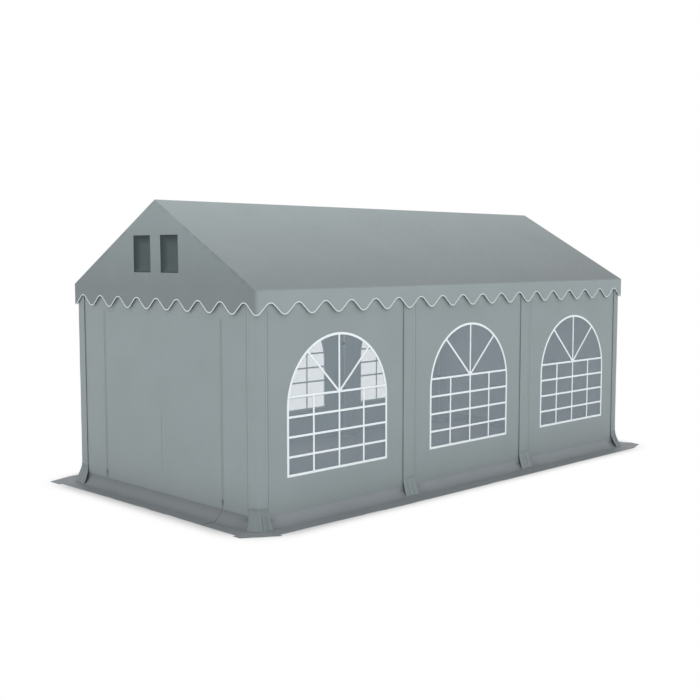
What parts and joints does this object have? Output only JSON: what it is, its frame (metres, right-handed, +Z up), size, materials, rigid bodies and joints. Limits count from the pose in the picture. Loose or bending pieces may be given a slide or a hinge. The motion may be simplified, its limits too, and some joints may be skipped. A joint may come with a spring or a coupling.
{
  "type": "frame tent",
  "caption": "Gable-roofed frame tent: steel tubes in sockets, coated-cloth cover with scalloped valance, arched lattice windows, lifting end doors and ground skirts.",
  "frame": {"origin": "on the ground under the middle of the tent", "axes": "+Z up, +Y along the ridge with the front gable at -Y, +X to the right seen from the front"},
  "size_m": [3.51, 6.51, 2.964],
  "materials": {
    "galvanised_steel": "satin",
    "welded_socket_steel": "satin",
    "screw_plastic": "matte",
    "cover_cloth": "satin",
    "hem_binding": "satin",
    "vent_mesh": "matte",
    "wall_cloth": "satin",
    "skirt_cloth": "satin",
    "window_film": "gloss",
    "window_bar": "satin",
    "webbing": "matte",
    "zip_tape": "matte",
    "zip_metal": "satin"
  },
  "bodies": {
    "front_door": {"front_door": "wall_cloth", "front_door_skirt": "skirt_cloth", "front_door_zips": "zip_tape"},
    "zip_slider_front_left": {"zip_slider_front_left": "zip_metal"},
    "zip_pull_front_left": {"zip_pull_front_left": "zip_metal"},
    "zip_slider_front_right": {"zip_slider_front_right": "zip_metal"},
    "zip_pull_front_right": {"zip_pull_front_right": "zip_metal"},
    "rear_door": {"rear_door": "wall_cloth", "rear_door_skirt": "skirt_cloth", "rear_door_zips": "zip_tape"},
    "zip_slider_rear_left": {"zip_slider_rear_left": "zip_metal"},
    "zip_pull_rear_left": {"zip_pull_rear_left": "zip_metal"},
    "zip_slider_rear_right": {"zip_slider_rear_right": "zip_metal"},
    "zip_pull_rear_right": {"zip_pull_rear_right": "zip_metal"},
    "tent": {"leg_left_1": "galvanised_steel", "leg_left_2": "galvanised_steel", "leg_left_3": "galvanised_steel", "leg_left_4": "galvanised_steel", "leg_right_1": "galvanised_steel", "leg_right_2": "galvanised_steel", "leg_right_3": "galvanised_steel", "leg_right_4": "galvanised_steel", "rafters": "galvanised_steel", "eave_purlins": "galvanised_steel", "ridge_purlins": "galvanised_steel", "gable_ties": "galvanised_steel", "corner_connectors": "welded_socket_steel", "eave_connectors": "welded_socket_steel", "ridge_connectors": "welded_socket_steel", "foot_plates": "welded_socket_steel", "thumb_screws": "screw_plastic", "roof_panel_left": "cover_cloth", "roof_panel_right": "cover_cloth", "gable_front": "cover_cloth", "gable_rear": "cover_cloth", "valance_left": "cover_cloth", "valance_right": "cover_cloth", "hem_piping": "hem_binding", "vent_meshes": "vent_mesh", "side_panel_left_1": "wall_cloth", "side_panel_left_2": "wall_cloth", "side_panel_left_3": "wall_cloth", "side_panel_right_1": "wall_cloth", "side_panel_right_2": "wall_cloth", "side_panel_right_3": "wall_cloth", "end_wall_front": "wall_cloth", "end_wall_rear": "wall_cloth", "corner_sleeves": "wall_cloth", "post_sleeves": "wall_cloth", "corner_boots": "wall_cloth", "post_boots": "wall_cloth", "side_skirts": "skirt_cloth", "end_skirts": "skirt_cloth", "corner_flaps": "skirt_cloth", "window_films": "window_film", "window_bars": "window_bar", "hanging_straps": "webbing", "jamb_zips": "zip_tape"}
  },
  "joints": [
    {"name": "front_door_lift", "type": "hinge", "parent": "tent", "child": "front_door", "pos_m": [0, -2.975, 1.859], "axis": [-1, 0, 0], "range_deg": [0, 90]},
    {"name": "zip_slider_front_left_slide", "type": "slide", "parent": "front_door", "child": "zip_slider_front_left", "axis": [0, 0, 1], "range_m": [0, 1.55]},
    {"name": "zip_pull_front_left_swing", "type": "hinge", "parent": "zip_slider_front_left", "child": "zip_pull_front_left", "pos_m": [-0.97, -2.9878, 0.19], "axis": [-1, 0, 0], "range_deg": [0, 170]},
    {"name": "zip_slider_front_right_slide", "type": "slide", "parent": "front_door", "child": "zip_slider_front_right", "axis": [0, 0, 1], "range_m": [0, 1.55]},
    {"name": "zip_pull_front_right_swing", "type": "hinge", "parent": "zip_slider_front_right", "child": "zip_pull_front_right", "pos_m": [0.97, -2.9878, 0.19], "axis": [-1, 0, 0], "range_deg": [0, 170]},
    {"name": "rear_door_lift", "type": "hinge", "parent": "tent", "child": "rear_door", "pos_m": [0, 2.975, 1.859], "axis": [1, 0, 0], "range_deg": [0, 90]},
    {"name": "zip_slider_rear_left_slide", "type": "slide", "parent": "rear_door", "child": "zip_slider_rear_left", "axis": [0, 0, 1], "range_m": [0, 1.55]},
    {"name": "zip_pull_rear_left_swing", "type": "hinge", "parent": "zip_slider_rear_left", "child": "zip_pull_rear_left", "pos_m": [-0.97, 2.9878, 0.19], "axis": [1, 0, 0], "range_deg": [0, 170]},
    {"name": "zip_slider_rear_right_slide", "type": "slide", "parent": "rear_door", "child": "zip_slider_rear_right", "axis": [0, 0, 1], "range_m": [0, 1.55]},
    {"name": "zip_pull_rear_right_swing", "type": "hinge", "parent": "zip_slider_rear_right", "child": "zip_pull_rear_right", "pos_m": [0.97, 2.9878, 0.19], "axis": [1, 0, 0], "range_deg": [0, 170]}
  ]
}
